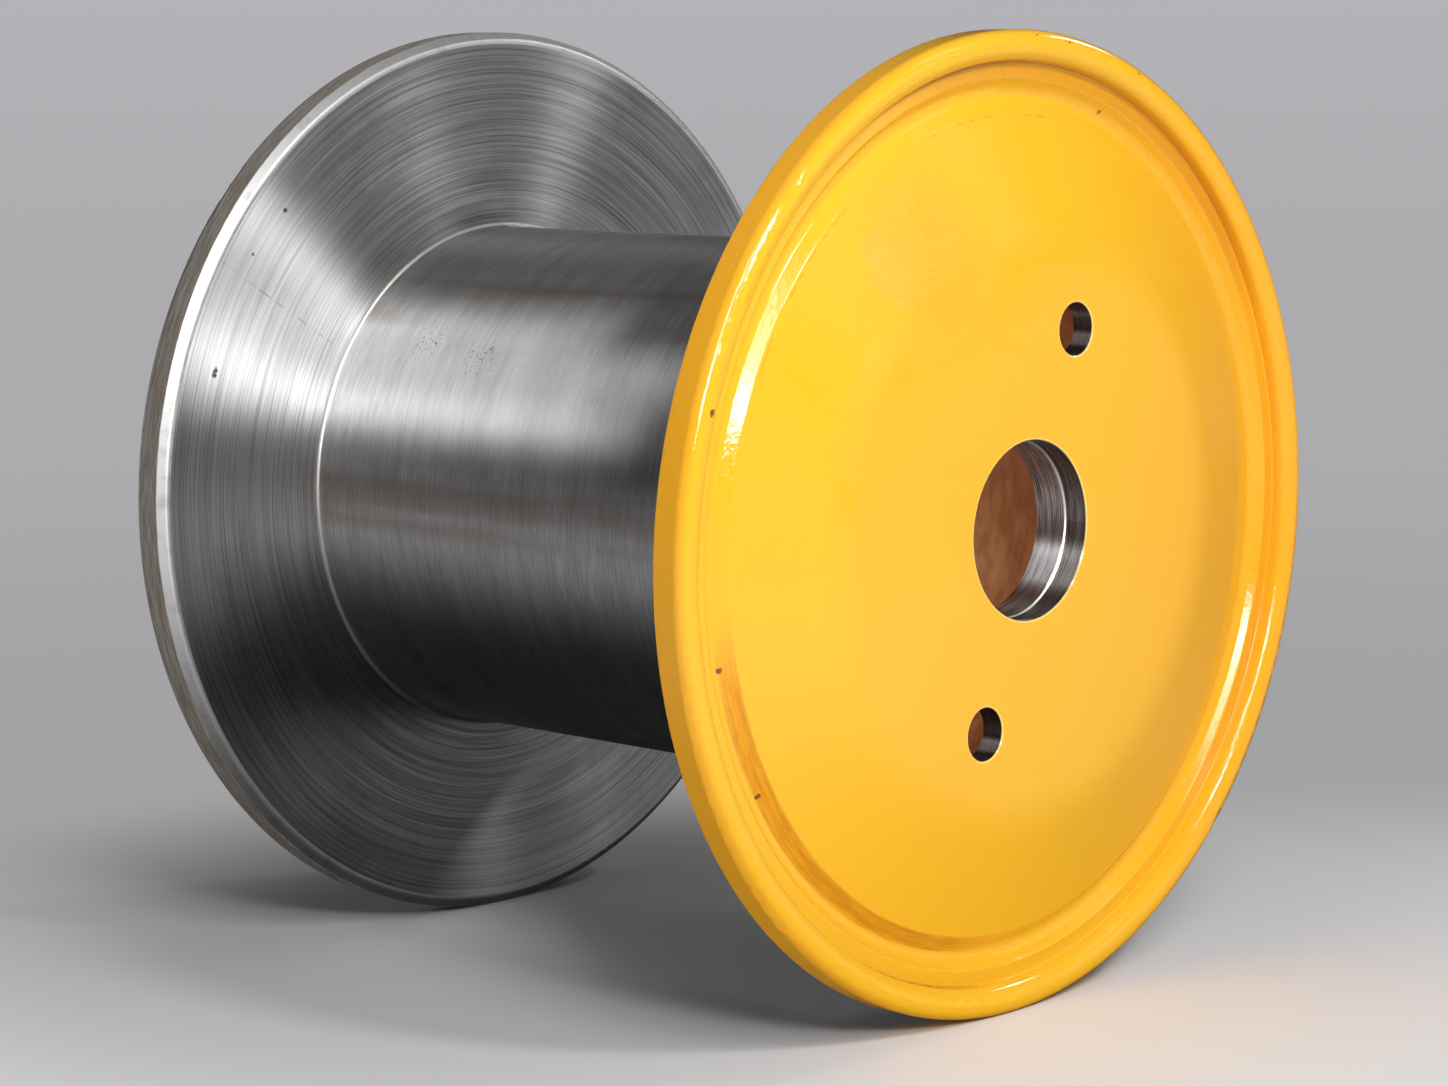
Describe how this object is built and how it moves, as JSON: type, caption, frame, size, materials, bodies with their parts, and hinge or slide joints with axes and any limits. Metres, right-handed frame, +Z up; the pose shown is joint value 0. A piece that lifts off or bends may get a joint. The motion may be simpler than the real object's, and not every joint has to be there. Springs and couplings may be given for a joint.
{
  "type": "steel bobbin",
  "caption": "Flanged steel bobbin with a round barrel, rounded painted rim, centre bore and off-centre drive holes, for winding wire or strand",
  "frame": {"origin": "middle of the bobbin's axis, half way between its two ends", "axes": "Z up. The axis is level along Y and the painted flange faces -Y. X is across the bobbin."},
  "size_m": [0.7099, 0.58, 0.71],
  "materials": {
    "enamel": "gloss golden yellow enamel on a turned steel flange",
    "flange_steel": "bare turned steel with concentric tool marks",
    "barrel_steel": "bare steel tube, brushed round the barrel, rust brown inside",
    "hub_steel": "bare bored steel"
  },
  "bodies": {
    "root": {"painted_flange": "enamel", "plain_flange": "flange_steel", "barrel_tube": "barrel_steel", "painted_end_hub_ring": "hub_steel", "plain_end_hub_ring": "hub_steel"}
  },
  "joints": []
}
